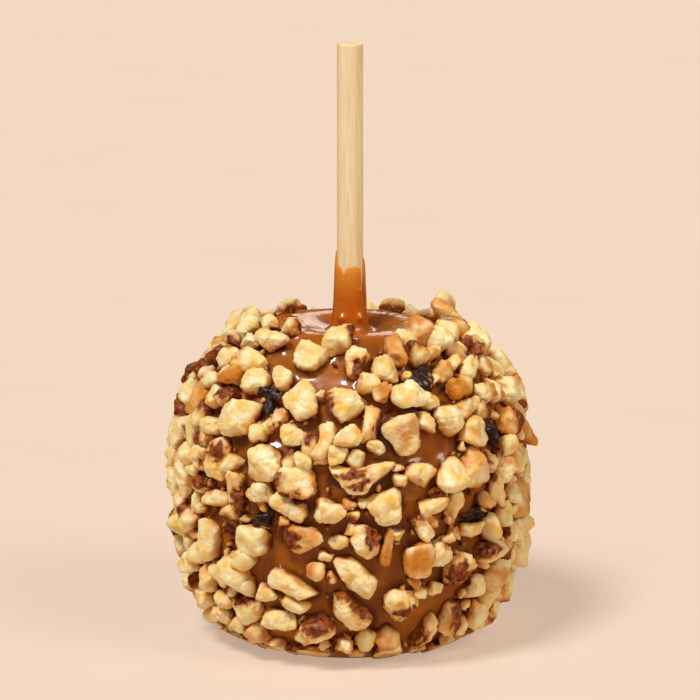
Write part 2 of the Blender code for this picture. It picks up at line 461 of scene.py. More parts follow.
@dataclass(frozen=True)
class KernelFinish:
    """Broken walnut kernel with patches of skin, toasted spots and a dark caramel foot that is partly
    painted shade.

    The attribute "channels" holds skin, toast, dark skin and the caramel foot, each in 0..1. The toast
    also holds painted shade on the lower part of each piece, and the caramel foot is partly painted shade.
    """

    pale: Color = linear(255, 243, 199)
    straw: Color = linear(250, 200, 88)
    toast: Color = linear(217, 138, 40)
    skin: Color = linear(172, 88, 32)
    skin_deep: Color = linear(88, 38, 14)
    dark: Color = linear(66, 38, 42)
    dark_deep: Color = linear(30, 17, 20)
    # Dark caramel at a piece's foot, partly real caramel and partly painted shade.
    glaze_and_shade: Color = linear(122, 60, 16)
    mottle_scale: float = 330
    vein_scale: float = 900
    crumb_scale: float = 1300
    specular: float = 0.4
    kernel_roughness: float = 0.5
    skin_roughness: float = 0.4
    dark_roughness: float = 0.28
    glaze_roughness: float = 0.17

    def build(self) -> bpy.types.Material:
        """Makes the material.

        Returns:
            The material.
        """
        sheet = NodeSheet(bpy.data.materials.new("walnut_kernel"))
        place = sheet.place()
        skin, toast, dark, glaze_and_shade = sheet.channel("channels")
        mottle = sheet.spread(sheet.noise(self.mottle_scale, 4, place), 0.35, 0.7)
        kernel = sheet.blend(mottle, self.pale, self.straw)
        # The toast share also holds painted shade: the lower part of each piece is painted golden.
        kernel = sheet.blend(toast, kernel, self.toast)
        veins = sheet.spread(sheet.noise(self.vein_scale, 4, place), 0.35, 0.65)
        kernel = sheet.blend(skin, kernel, sheet.blend(veins, self.skin, self.skin_deep))
        kernel = sheet.blend(dark, kernel, sheet.blend(veins, self.dark, self.dark_deep))
        # Painted shade: the foot of each piece is painted dark caramel, which is partly real caramel.
        sheet.link(sheet.blend(glaze_and_shade, kernel, self.glaze_and_shade), sheet.shader.inputs["Base Color"])
        sheet.shader.inputs["Specular IOR Level"].default_value = self.specular
        roughness = sheet.blend_value(skin, self.kernel_roughness, self.skin_roughness)
        roughness = sheet.blend_value(dark, roughness, self.dark_roughness)
        roughness = sheet.blend_value(glaze_and_shade, roughness, self.glaze_roughness)
        sheet.link(roughness, sheet.shader.inputs["Roughness"])
        sheet.subsurface(0.32, (1.0, 0.56, 0.22), 0.0013)
        crumb = sheet.noise(self.crumb_scale, 6, place)
        calm = sheet.blend_value(glaze_and_shade, crumb, 0.5)
        sheet.bump(calm, 0.55, 0.0005)
        return sheet.material


@dataclass(frozen=True)
class WoodFinish:
    """Pale birch dowel with fine straight grain."""

    light: Color = linear(255, 238, 198)
    warm: Color = linear(248, 218, 166)
    streak: Color = linear(206, 162, 106)
    band_scale: float = 520
    grain_scale: float = 2600
    grain_stretch: float = 0.045

    def build(self) -> bpy.types.Material:
        """Makes the material.

        Returns:
            The material.
        """
        sheet = NodeSheet(bpy.data.materials.new("birch_dowel"))
        along = sheet.place((1, 1, self.grain_stretch))
        broad = sheet.spread(sheet.noise(self.band_scale, 4, along), 0.35, 0.65)
        grain = sheet.noise(self.grain_scale, 5, along)
        fine = sheet.spread(grain, 0.5, 0.78)
        wood = sheet.blend(broad, self.light, self.warm)
        streaks = sheet.blend_value(fine, 0.0, 0.4)
        sheet.link(sheet.blend(streaks, wood, self.streak), sheet.shader.inputs["Base Color"])
        sheet.link(sheet.spread(fine, 0, 1, 0.5, 0.68), sheet.shader.inputs["Roughness"])
        sheet.subsurface(0.08, (1.0, 0.6, 0.3), 0.001)
        sheet.bump(grain, 0.18, 0.0002)
        return sheet.material


@dataclass(frozen=True)
class PaperFinish:
    """Matt peach paper under and behind the apple, lit from below so that shadows stay pale."""

    color: Color = linear(176, 160, 149)
    fleck: Color = linear(172, 156, 145)
    glow: Color = linear(180, 160, 142)
    mottle_scale: float = 14
    tooth_scale: float = 600

    def build(self) -> bpy.types.Material:
        """Makes the material.

        Returns:
            The material.
        """
        sheet = NodeSheet(bpy.data.materials.new("peach_paper"))
        place = sheet.place()
        mottle = sheet.spread(sheet.noise(self.mottle_scale, 5, place), 0.3, 0.7)
        sheet.link(sheet.blend(mottle, self.color, self.fleck), sheet.shader.inputs["Base Color"])
        sheet.link(sheet.spread(mottle, 0, 1, 0.85, 0.95), sheet.shader.inputs["Roughness"])
        sheet.bump(sheet.noise(self.tooth_scale, 4, place), 0.06, 0.0004)
        sheet.shader.inputs["Emission Color"].default_value = (*self.glow, 1)
        sheet.shader.inputs["Emission Strength"].default_value = 1.0
        return sheet.material


# ---------------------------------------------------------------------------------------------
# The coated apple
# ---------------------------------------------------------------------------------------------


@dataclass
class CoatForm:
    """The plain outline of the coated apple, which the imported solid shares.

    Above the waist and below it the outline is a rounded curve, r = R (1 - t^n)^(1/n), where t is
    the share of the half-height. A bell-shaped dimple is taken from the crown round the stick.
    """

    radius: float
    waist_height: float = 43.5
    upper: float = 37.1
    upper_power: float = 2.2
    lower: float = 48.5
    lower_power: float = 3.0
    dimple_depth: float = 6.7
    dimple_width: float = 11.0
    slope_step: float = 0.25

    def radius_at(self, height: Array) -> Array:
        """Radius of the flank at heights between the foot and the shoulder.

        Args:
            height: Heights above the floor.

        Returns:
            The radii.
        """
        above = height > self.waist_height
        half = np.where(above, self.upper, self.lower)
        power = np.where(above, self.upper_power, self.lower_power)
        share = np.clip(np.abs(height - self.waist_height) / half, 0, 1)
        return self.radius * (1 - share**power) ** (1 / power)

    def dimple(self, radius: Array) -> Array:
        """Drop of the crown round the stick at each radius."""
        return self.dimple_depth * np.exp(-((radius / self.dimple_width) ** 2))

    def crown_height(self, radius: Array) -> Array:
        """Height of the crown, with its dimple, at radii inside the shoulder.

        Args:
            radius: Distances from the axis.

        Returns:
            The heights.
        """
        share = np.clip(radius / self.radius, 0, 1) ** self.upper_power
        dome = self.waist_height + self.upper * (1 - share) ** (1 / self.upper_power)
        return dome - self.dimple(radius)

    def frames(self, longitude: Array, height: Array) -> tuple[Array, Array]:
        """Places on the coat and the axes there.

        Args:
            longitude: Degrees round the apple from the front.
            height: Height of each place.

        Returns:
            The places, and for each a 3 by 3 array whose rows are level, uphill and outward.
        """
        turn = np.radians(longitude)
        away = np.stack((np.sin(turn), -np.cos(turn), np.zeros_like(turn)), -1)
        level = np.stack((np.cos(turn), np.sin(turn), np.zeros_like(turn)), -1)
        step = self.slope_step
        run = self.radius_at(height + step) - self.radius_at(height - step)
        uphill = away * run[:, None] + np.array((0, 0, 2 * step))
        uphill /= np.linalg.norm(uphill, axis=1, keepdims=True)
        outward = np.cross(level, uphill)
        radius = self.radius_at(height)
        drop = height - self.dimple(radius)
        places = away * radius[:, None] + drop[:, None] * np.array((0, 0, 1.0))
        return places, np.stack((level, uphill, outward), 1)

    def height_above(self, points: Array) -> Array:
        """Rough distance of points outside the coat: how far a scaled copy of it has to grow.

        Args:
            points: Places with the last axis x, y and z.

        Returns:
            The distance of each, negative inside.
        """
        across = np.hypot(points[..., 0], points[..., 1])
        rise = points[..., 2] - self.waist_height
        above = rise > 0
        half = np.where(above, self.upper, self.lower)
        power = np.where(above, self.upper_power, self.lower_power)
        growth = ((across / self.radius) ** power + (np.abs(rise) / half) ** power) ** (1 / power)
        return (growth - 1) * np.hypot(across, rise)


@dataclass
class CaramelCoat:
    """The caramel over the whole apple, with its foot, its dimple and its film on the stick.

    A bead in the film is a longitude, a height, a size and a rise. A tongue or notch in its upper
    edge is a longitude, a width in degrees, a rise and the power of its fall, exp(-(away/width)^power).
    """

    form: CoatForm
    stick_radius: float
    film_top: float = 91.6
    collar_foot: float = 75.6
    flare: float = 1.7
    flare_height: float = 1.1
    columns: int = 420
    foot_rows: int = 5
    flank_rows: int = 98
    crown_rows: int = 38
    collar_rows: int = 92
    shoulder_share: float = 0.72
    eased_rows: int = 8
    easings: int = 6
    closing_depth: float = 4.0
    beads: tuple[tuple[float, float, float, float], ...] = (
        (-27, 79.2, 1.15, 0.9),
        (35, 79.2, 1.05, 0.8),
        (-27, 88.6, 0.42, 0.34),
        (-24, 91.0, 0.7, 0.22),
        (42, 86.2, 0.36, 0.34),
        (50, 87.6, 0.3, 0.26),
        (34, 90.4, 0.5, 0.2),
        (-62, 84.0, 0.6, 0.16),
        (6, 83.0, 0.8, 0.1),
        (150, 86.0, 0.5, 0.3),
        (-150, 89.0, 0.4, 0.3),
    )
    tongues: tuple[tuple[float, float, float, int], ...] = (
        (-86, 17, 4.4, 2),
        (84, 9, 2.2, 2),
        (-28, 10, -1.6, 2),
        (60, 10, -7.0, 4),
    )
    overlap: float = 0.06
    film_thickness: float = 0.42
    film_lip: float = 0.5
    film_growth: float = 0.046
    wet_reach: float = 3.5
    wet_fall: float = 0.8
    wet_climb: float = 0.34

    def film_edge(self, longitude: Array) -> Array:
        """Height of the film's fingered upper edge at each longitude, in radians.

        Args:
            longitude: Turns round the stick from the front.

        Returns:
            The heights.
        """
        ring = np.stack((np.cos(longitude), np.sin(longitude), np.zeros_like(longitude)), -1)
        fingers = 0.9 * lattice_noise(ring * 2.1 + 5.3, 4) + 0.3 * lattice_noise(ring * 4.2 + 2.2, 9)
        edge = self.film_top + fingers
        for middle, width, rise, power in self.tongues:
            away = (longitude - np.radians(middle)) / np.radians(width)
            edge = edge + rise * np.exp(-(away**power))
        return edge

    def profile(self) -> tuple[Array, Array]:
        """Radius and height of every row and column, from the foot's middle to the film's edge.

        The film is t (1 - exp(-b / l)) + g b thick at a distance b below its edge, and flares as
        exp(-height / flare_height) where it leaves the crown.

        Returns:
            Two arrays of rows by columns: radii and heights.
        """
        form = self.form
        foot_radius = float(form.radius_at(np.array(0.0)))
        shoulder = form.waist_height + self.shoulder_share * form.upper
        climb = np.linspace(0, 1, self.flank_rows)
        flank_height = shoulder * (0.55 * climb + 0.45 * climb**2 * (3 - 2 * climb))
        foot = np.linspace(0, 1, self.foot_rows, endpoint=False)[1:] * foot_radius
        shoulder_radius = float(form.radius_at(np.array(shoulder)))
        collar_radius = self.stick_radius + 1.0 + self.flare
        crown = np.linspace(shoulder_radius, collar_radius + 0.5, self.crown_rows + 1)[1:]
        radius = np.concatenate((foot, form.radius_at(flank_height), crown))
        crown_drop = form.crown_height(crown)
        flank_drop = form.dimple(form.radius_at(flank_height)) * smooth_step(60, 68, flank_height)
        height = np.concatenate((np.zeros_like(foot), flank_height - flank_drop, crown_drop))
        turn = np.linspace(-np.pi, np.pi, self.columns, endpoint=False)
        edge = self.film_edge(turn)
        climb = np.linspace(0, 1, self.collar_rows)[:, None] ** 1.1
        collar_height = self.collar_foot + climb * (edge - self.collar_foot)
        below = edge - collar_height
        film = self.film_thickness * (1 - np.exp(-below / self.film_lip)) + self.film_growth * below
        flare = self.flare * np.exp(-(collar_height - self.collar_foot) / self.flare_height)
        collar = self.stick_radius - self.overlap + film + flare
        radius = np.concatenate((np.repeat(radius[:, None], self.columns, 1), collar))
        height = np.concatenate((np.repeat(height[:, None], self.columns, 1), collar_height))
        return self.eased(radius), self.eased(height)

    def eased(self, rows: Array) -> Array:
        """Rounds the meeting of crown and collar by averaging each row there with its neighbours.

        Args:
            rows: Radii or heights, rows by columns.

        Returns:
            The same array, eased.
        """
        joint = self.foot_rows - 1 + self.flank_rows + self.crown_rows
        first, last = joint - self.eased_rows, joint + self.eased_rows
        for _ in range(self.easings):
            around = (rows[first - 1 : last - 1] + rows[first + 1 : last + 1]) / 2
            rows[first:last] = (rows[first:last] + around) / 2
        return rows

    def surface(self) -> Array:
        """Places of the plain coat, rows by columns.

        Returns:
            Rows by columns by 3.
        """
        radius, height = self.profile()
        turn = np.linspace(-np.pi, np.pi, self.columns, endpoint=False)
        return np.stack((radius * np.sin(turn), -radius * np.cos(turn), height), -1)

    @staticmethod
    def outward(surface: Array) -> Array:
        """Unit normals of a surface of rows by columns.

        Args:
            surface: Places, rows by columns by 3.

        Returns:
            The normal at each.
        """
        along_rows = np.gradient(surface, axis=0)
        along_columns = np.roll(surface, -1, 1) - np.roll(surface, 1, 1)
        normal = np.cross(along_columns, along_rows)
        length = np.linalg.norm(normal, axis=-1, keepdims=True)
        return normal / np.maximum(length, 1e-9)

    def waves(self, surface: Array) -> Array:
        """Slow swells of the poured caramel, and beads in the film on the stick.

        Args:
            surface: Places of the coat, rows by columns.

        Returns:
            The rise in millimetres, rows by columns.
        """
        swell = 0.55 * lattice_noise(surface / 13.0, 31) + 0.26 * lattice_noise(surface / 6.0, 32)
        on_coat = smooth_step(self.collar_foot + 3.0, self.collar_foot, surface[..., 2])
        off_foot = smooth_step(0.4, 4.0, surface[..., 2])
        streaks = 0.07 * lattice_noise(surface / (0.9, 0.9, 5.0), 33) * (1 - on_coat)
        lift = swell * on_coat * off_foot + streaks
        for longitude, height, size, rise in self.beads:
            turn = math.radians(longitude)
            radius = self.stick_radius + 0.8
            middle = np.array((radius * math.sin(turn), -radius * math.cos(turn), height))
            away = np.linalg.norm(surface - middle, axis=-1)
            lift += rise * np.exp(-((away / size) ** 2))
        return lift

    def wetting(self, surface: Array, walnuts: "WalnutBatch") -> Array:
        """Rise of the caramel where it clings round each walnut piece.

        Outside the oval where a piece meets the coat, the rise falls off as exp(-distance / wet_fall).
        The largest rise counts, softened where two meet: the fourth root of the sum of fourth powers.

        Args:
            surface: Places of the coat, rows by columns.
            walnuts: The pieces that stand in it.

        Returns:
            The rise in millimetres, rows by columns.
        """
        flat = surface.reshape(-1, 3)
        total = np.zeros(len(flat))
        order = np.argsort(flat[:, 2])
        sorted_height = flat[order, 2]
        for middle, axes, half in zip(walnuts.middle, walnuts.axes, walnuts.half):
            reach = float(half[:2].max()) + self.wet_reach
            first, last = np.searchsorted(sorted_height, (middle[2] - reach, middle[2] + reach))
            near = order[first:last]
            offset = flat[near] - middle
            near = near[np.einsum("ij,ij->i", offset, offset) < (reach + half[2]) ** 2]
            offset = (flat[near] - middle) @ axes.T
            foot = np.maximum(half * 0.86, 0.5)
            oval = np.hypot(offset[:, 0] / foot[0], offset[:, 1] / foot[1])
            beyond = (oval - 1) * (foot[0] + foot[1]) / 2
            height = self.wet_climb * min(float(half[2]), 3.0)
            total[near] += (height * np.exp(-np.maximum(beyond, 0) / self.wet_fall)) ** 4
        return (total**0.25).reshape(surface.shape[:2])

    def build(self, walnuts: "WalnutBatch", finish: bpy.types.Material) -> bpy.types.Object:
        """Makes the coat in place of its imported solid.

        Args:
            walnuts: Every walnut piece that stands in the caramel.
            finish: The caramel.

        Returns:
            The coat.
        """
        surface = self.surface()
        normal = self.outward(surface)
        climb = self.wetting(surface, walnuts)
        lift = self.waves(surface) + climb
        surface = surface + normal * lift[..., None]
        surface[..., 2] = np.maximum(surface[..., 2], 0)
        thin = np.clip((surface[..., 2] - self.collar_foot) / (self.film_top - self.collar_foot), 0, 1)
        inside = np.array((0.0, 0.0, self.film_top - self.closing_depth))
        points = np.concatenate(([[0.0, 0, 0]], surface.reshape(-1, 3), [inside]))
        channels = np.zeros((len(points), 4))
        channels[1:-1, 0] = thin.ravel()
        # The second channel paints the caramel dark next to the walnut pieces: thicker caramel and painted
        # shade.
        channels[1:-1, 1] = smooth_step(0.25, 1.0, climb).ravel()
        triangles = globe_triangles(surface.shape[0], self.columns)[:, ::-1]
        coat = add_piece("caramel_coat", points, triangles, finish, channels)
        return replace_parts(coat, "coated_apple")


# ---------------------------------------------------------------------------------------------
# The stick
# ---------------------------------------------------------------------------------------------


@dataclass
class Stick:
    """The turned dowel, very slightly uneven, with softened ends."""

    radius: float
    bottom: float
    top: float
    columns: int = 72
    rows: int = 150
    edge: float = 0.35
    unevenness: float = 0.03

    def build(self, finish: bpy.types.Material) -> bpy.types.Object:
        """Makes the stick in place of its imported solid.

        Its radius wavers with a noise that is 22 mm long and two fifths of a turn wide, and each end
        is rounded by a quarter circle.

        Args:
            finish: The wood.

        Returns:
            The stick.
        """
        arc = np.linspace(0, np.pi / 2, 5)
        core = self.radius - self.edge
        ends = np.linspace(0, core, 5, endpoint=False)[1:]
        shaft = np.linspace(self.bottom + self.edge, self.top - self.edge, self.rows)[1:-1]
        low_arc = core + self.edge * np.sin(arc)
        high_arc = core + self.edge * np.cos(arc)
        radius = np.concatenate((ends, low_arc, np.full_like(shaft, self.radius), high_arc, ends[::-1]))
        height = np.concatenate(
            (
                np.full_like(ends, self.bottom),
                self.bottom + self.edge * (1 - np.cos(arc)),
                shaft,
                self.top - self.edge * (1 - np.sin(arc)),
                np.full_like(ends, self.top),
            )
        )
        turn = np.linspace(0, 2 * np.pi, self.columns, endpoint=False)
        grid_radius = np.repeat(radius[:, None], self.columns, 1)
        grid_height = np.repeat(height[:, None], self.columns, 1)
        ring = np.stack((np.cos(turn), np.sin(turn)), -1)
        place = np.stack(
            (
                np.broadcast_to(ring[:, 0] * 1.6, grid_radius.shape),
                np.broadcast_to(ring[:, 1] * 1.6, grid_radius.shape),
                grid_height / 22.0,
            ),
            -1,
        )
        grid_radius = grid_radius + self.unevenness * lattice_noise(place, 3) * (grid_radius > 1)
        surface = np.stack((grid_radius * ring[:, 0], grid_radius * ring[:, 1], grid_height), -1)
        points = np.concatenate(
            ([[0.0, 0, self.bottom]], surface.reshape(-1, 3), [[0.0, 0, self.top]])
        )
        triangles = globe_triangles(len(radius), self.columns)[:, ::-1]
        stick = add_piece("birch_stick", points, triangles, finish)
        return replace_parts(stick, "stick")


# ---------------------------------------------------------------------------------------------
# Walnut pieces
# ---------------------------------------------------------------------------------------------


class Form(Enum):
    """Sorts of broken piece: squareness, waist, taper and bend of a rounded block."""

    BLOCK = (4.2, 0.0, 0.05, 0.0)
    LOBE = (2.6, 0.05, 0.1, 0.0)
    BAR = (3.6, 0.12, 0.08, 0.0)
    WEDGE = (3.6, 0.0, 0.4, 0.0)
    CRESCENT = (3.2, 0.1, 0.0, 0.45)


class Skin(Enum):
    """Finishes of a piece: its slot, and how far skin, toast and dark skin cover it.

    The reach of skin is the cosine down to which it covers the side it grows on, with its sign
    turned: -1 is a bare trace, 0 is half the piece, 1 is all of it, and below -2 there is none.
    """

    PALE = ("kernel_pale", -0.98, -0.5, 0.0)
    CLEAN = ("kernel_pale", -2.2, -0.4, 0.0)
    TOASTED = ("kernel_toasted", -2.2, 0.25, 0.0)
    SKINNED = ("kernel_skin", -0.1, -0.1, 0.0)
    DARK = ("kernel_dark", 0.75, 0.0, 1.0)

    @property
    def slot(self) -> str:
        """Name of the finish in the record."""
        return self.value[0]


@dataclass(frozen=True)
class Chunk:
    """One walnut piece: where it sits, its size, its form and its finish.

    The tilt is of its long axis above the level, in degrees, and a depth of 0 follows the breadth.
    """

    longitude: float
    height: float
    length: float
    breadth: float
    tilt: float = 0.0
    form: Form = Form.BLOCK
    skin: Skin = Skin.PALE
    depth: float = 0.0

    @property
    def outward_depth(self) -> float:
        """Thickness of the piece away from the apple."""
        return self.depth or min(1.5 + 0.85 * self.breadth, 6.0)


P, C, T, K, D = Skin.PALE, Skin.CLEAN, Skin.TOASTED, Skin.SKINNED, Skin.DARK
BLOCK, LOBE, BAR, WEDGE, CRESCENT = Form.BLOCK, Form.LOBE, Form.BAR, Form.WEDGE, Form.CRESCENT

CROWN_CHUNKS = (
    Chunk(-7, 75.5, 7, 6, 85, LOBE, P),
    Chunk(-3, 77, 5, 4.6, 0, LOBE, K),
    Chunk(46, 76.3, 7.4, 6, 80, LOBE, T, 6.5),
    Chunk(55, 74.5, 7.2, 5.6, 80, BLOCK, P),
    Chunk(24, 73.6, 7.6, 4.4, 85, BAR, T),
    Chunk(60, 68.5, 7.5, 3.8, 20, BAR, P),
    Chunk(43, 69.3, 5, 4.8, 0, LOBE, T),
    Chunk(47, 65.3, 8, 4.5, 4, BAR, T),
    Chunk(72, 67.5, 5, 3.6, 85, LOBE, T),
    Chunk(31.5, 69, 6.4, 4.6, 60, WEDGE, D, 4),
    Chunk(25, 69.2, 3, 2.6, 0, LOBE, P),
    Chunk(-48.5, 70.2, 8.4, 5.6, 5, WEDGE, K),
    Chunk(-54, 67, 5.6, 5, 85, BLOCK, T),
    Chunk(-33, 65.4, 7.4, 2.6, -22, BAR, D, 3),
    Chunk(-32, 62.6, 4.6, 2.4, -60, BAR, D, 3),
    Chunk(-29, 68.3, 5, 4, 60, BLOCK, P),
    Chunk(-25.5, 61, 6, 3.6, 80, BAR, P),
    Chunk(-80, 69.5, 6, 4.6, 40, LOBE, K),
    Chunk(-88, 65, 5, 4.6, 80, LOBE, K),
    Chunk(-62, 73.5, 4, 3.6, 0, LOBE, P),
    Chunk(-82, 74.5, 7, 5.4, 0, BLOCK, P),
    Chunk(-100, 75, 6, 5, 10, BLOCK, P),
    Chunk(-68, 76.5, 5, 4.2, 0, LOBE, P),
    Chunk(-47, 77.4, 5, 4, 0, BLOCK, P),
    Chunk(-57, 78.2, 3.5, 3, 0, LOBE, K),
    Chunk(-136, 76.4, 5.4, 4.4, 0, BLOCK, P, 3.8),
    Chunk(-118, 77.4, 5, 4, 0, LOBE, P, 4.0),
    Chunk(150, 76.4, 6.4, 4.4, 0, LOBE, C, 4.0),
    Chunk(110, 75.6, 6.4, 5.0, 0, WEDGE, C, 9.0),
)

UPPER_CHUNKS = (
    Chunk(23, 65.4, 6.9, 6.4, 10, BLOCK, P),
    Chunk(30, 64.4, 4.8, 4.4, 0, LOBE, P),
    Chunk(13, 66.2, 4, 3.4, 0, BLOCK, T),
    Chunk(48, 61.3, 7, 3.6, 10, BAR, T),
    Chunk(59, 62.6, 5.6, 4.6, 0, BLOCK, T),
    Chunk(-0.5, 57.6, 6.8, 5.8, 75, LOBE, P),
    Chunk(7.5, 60.5, 7.5, 3.6, 80, BAR, P),
    Chunk(9, 55.6, 4.2, 3.8, 0, LOBE, K),
    Chunk(45, 56.3, 6.5, 5, 80, BLOCK, T),
    Chunk(56, 54.5, 6, 4.2, 80, LOBE, D, 4),
    Chunk(76, 54.5, 6.5, 4.4, 20, LOBE, K),
    Chunk(67, 56, 6, 5, 60, BLOCK, T),
    Chunk(-19, 57.0, 5.5, 4, 0, WEDGE, P),
    Chunk(-13.4, 55.4, 5, 3.6, 80, LOBE, K),
    Chunk(-9, 57.3, 8.5, 4.4, 78, CRESCENT, P),
    Chunk(-14.5, 51.4, 4.5, 4.2, 0, BLOCK, P),
    Chunk(-4, 53.4, 5.2, 4, 0, BLOCK, P),
    Chunk(-58, 53.2, 4.6, 4, 0, LOBE, K),
    Chunk(-55, 57, 6.2, 4.6, 0, BAR, P),
    Chunk(-66, 53.6, 6.5, 4.4, 85, BAR, P),
    Chunk(-58.5, 48.5, 5.6, 4.3, 85, BLOCK, P),
    Chunk(-59, 62.4, 4.8, 4, 0, BLOCK, P),
    Chunk(-53, 63, 5, 3.6, 40, CRESCENT, K),
    Chunk(-84, 59.5, 6.5, 5, 80, LOBE, P),
)

MIDDLE_CHUNKS = (
    Chunk(34.5, 48.5, 7.2, 6, 88, WEDGE, P),
    Chunk(31, 43.8, 4.4, 2.6, 0, BAR, P),
    Chunk(36, 40.6, 6.2, 4.4, 80, LOBE, T),
    Chunk(0, 42.6, 3.2, 2.4, 0, LOBE, K),
    Chunk(4.4, 42.7, 2.8, 2.4, 0, LOBE, P),
    Chunk(28, 40.6, 7, 3.8, 12, BAR, P),
    Chunk(24, 36.3, 6.6, 3.6, -62, BAR, P),
    Chunk(27, 37.4, 4, 3, 0, LOBE, K),
    Chunk(46, 36.6, 7, 2.8, 6, BAR, D, 3.4),
    Chunk(45, 33.5, 7.5, 3.6, 0, BAR, P),
    Chunk(56, 40.6, 6, 5.4, 45, LOBE, K),
    Chunk(66, 29.5, 5, 3.6, 80, LOBE, K),
    Chunk(12, 32.2, 8, 3, 82, BAR, T),
    Chunk(22, 28.2, 8, 5.6, 85, BLOCK, T),
    Chunk(31, 29, 6.2, 5.8, 0, LOBE, P),
    Chunk(-33, 31.8, 7.2, 6.6, 85, BLOCK, P),
    Chunk(-38.5, 44, 10, 4.4, -75, BAR, K),
    Chunk(-30, 44.3, 4.8, 4, 0, BLOCK, P),
    Chunk(-7, 41.6, 6.8, 5.8, 0, LOBE, P),
    Chunk(-30, 37.6, 4.6, 4.4, 0, LOBE, D, 4),
    Chunk(-62, 38, 7.2, 4, 85, BAR, P),
    Chunk(-44, 33.5, 3.2, 3, 0, LOBE, K),
    Chunk(-74, 33.2, 4, 3.6, 0, LOBE, K),
    Chunk(-83, 38.5, 6, 5, 80, BLOCK, P),
    Chunk(-17.4, 47.4, 7.6, 5.2, 0, BLOCK, K),
    Chunk(-58, 42.6, 4.2, 3.8, 0, LOBE, K),
    Chunk(68, 38, 5, 4, 30, BLOCK, P),
    Chunk(-22, 37.6, 3.2, 2.6, 0, LOBE, K),
)

LOWER_CHUNKS = (
    Chunk(54, 27.5, 7, 5, 0, BLOCK, P),
    Chunk(48, 19, 6, 5, 0, LOBE, P),
    Chunk(40, 12, 7, 6.2, 80, BLOCK, K),
    Chunk(30, 10.6, 8.6, 3.8, 75, CRESCENT, P),
    Chunk(3, 4.2, 4.6, 3, 0, LOBE, P),
    Chunk(40, 3, 5.4, 4.2, 0, BLOCK, P),
    Chunk(52, 4.2, 4.4, 4.2, 0, LOBE, P),
    Chunk(64, 10, 6.6, 6, 0, BLOCK, P),
    Chunk(60, 19.5, 6.4, 5.4, 30, BLOCK, T),
    Chunk(78, 13, 5.6, 4.4, 80, LOBE, K),
    Chunk(86, 21, 7, 6, 80, BLOCK, T),
    Chunk(72, 4.5, 5.4, 4.4, 0, LOBE, T),
    Chunk(62, 3.6, 4.2, 3.8, 0, LOBE, K),
    Chunk(30, 20.5, 3.6, 3, 0, LOBE, P),
    Chunk(46, 14.3, 3, 2.6, 0, LOBE, P),
    Chunk(-42, 23, 6.6, 6.2, 80, BLOCK, P),
    Chunk(-25, 13.6, 7.5, 6, 0, LOBE, P),
    Chunk(-11, 12.6, 7, 5.4, 30, BLOCK, K),
    Chunk(-3.5, 6.8, 6, 4.2, 80, LOBE, K),
    Chunk(-34, 5, 6.2, 4.4, 0, BAR, P),
    Chunk(-58, 5.4, 7, 4.4, 10, BAR, P),
    Chunk(-70, 21.5, 6.5, 5.2, 20, BLOCK, P),
    Chunk(-57, 19, 6, 5, 80, LOBE, T),
    Chunk(-65, 13.5, 5.4, 5, 0, LOBE, T),
    Chunk(-80, 14, 5.6, 4.6, 0, BLOCK, T),
    Chunk(-75, 7.6, 4, 3.6, 0, LOBE, K),
    Chunk(-55, 11.4, 5, 3.8, 0, BLOCK, P),
    Chunk(-85, 27.5, 6, 4.6, 80, LOBE, K),
    Chunk(-46, 9.4, 5, 4, 30, LOBE, P),
)

CHUNK_GROUPS = {
    "chopped_crown": CROWN_CHUNKS,
    "chopped_upper": UPPER_CHUNKS,
    "chopped_middle": MIDDLE_CHUNKS,
    "chopped_lower": LOWER_CHUNKS,
}

# Patches of caramel that stay bare: the longitude, height and radius of each.
BARE_PATCHES = (
    (-33, 71, 4.6),
    (-21, 67, 3.4),
    (-25, 56, 4.4),
    (-6, 69, 4.2),
    (40, 78, 6.0),
    (30, 55, 4.6),
    (21.6, 42.5, 4.2),
    (30, 36, 3.4),
    (13.4, 25, 4.8),
    (31, 15, 5.0),
    (20, 10.5, 3.8),
    (-20, 28, 4.8),
    (-30, 24.5, 4.0),
    (-13, 16.4, 3.6),
    (-27.5, 8.2, 4.0),
    (54, 16, 2.8),
    (7, 51.5, 3.2),
)


@dataclass
class WalnutBatch:
    """Places, axes and half-sizes of many pieces. The rows of axes are along, across and outward."""

    middle: Array
    axes: Array
    half: Array

    def joined(self, other: "WalnutBatch") -> "WalnutBatch":
        """Both batches in one.

        Args:
            other: The batch that comes second.

        Returns:
            The joined batch.
        """
        return WalnutBatch(
            np.concatenate((self.middle, other.middle)),
            np.concatenate((self.axes, other.axes)),
            np.concatenate((self.half, other.half)),
        )


@dataclass
class Cover:
    """What covers each of many pieces: skin and its side, toasting and dark skin."""

    PATCHED_SHARE: ClassVar[float] = 0.6
    MOSTLY_BARE: ClassVar[float] = -0.9

    skin: Array
    side: Array
    toast: Array
    dark: Array

    @classmethod
    def drawn(cls, skins: list[Skin], side: Array, chance: np.random.Generator) -> "Cover":
        """Draws the covers of pieces of given finishes.

        Args:
            skins: The finish of each piece.
            side: The side of each piece that skin grows on.
            chance: Source of the differences between pieces of one finish.

        Returns:
            Their covers.
        """
        values = np.array([skin.value[1:] for skin in skins])
        count = len(skins)
        has_patch = chance.random(count) < cls.PATCHED_SHARE
        patched = np.where(has_patch, chance.uniform(0.12, 0.5, count), -0.5)
        mostly_bare = values[:, 0] < cls.MOSTLY_BARE
        skin = values[:, 0] + np.where(mostly_bare, patched, chance.uniform(-0.2, 0.2, count))
        toast = values[:, 1] + chance.uniform(-0.35, 0.45, count)
        return cls(skin, side, toast, values[:, 2])


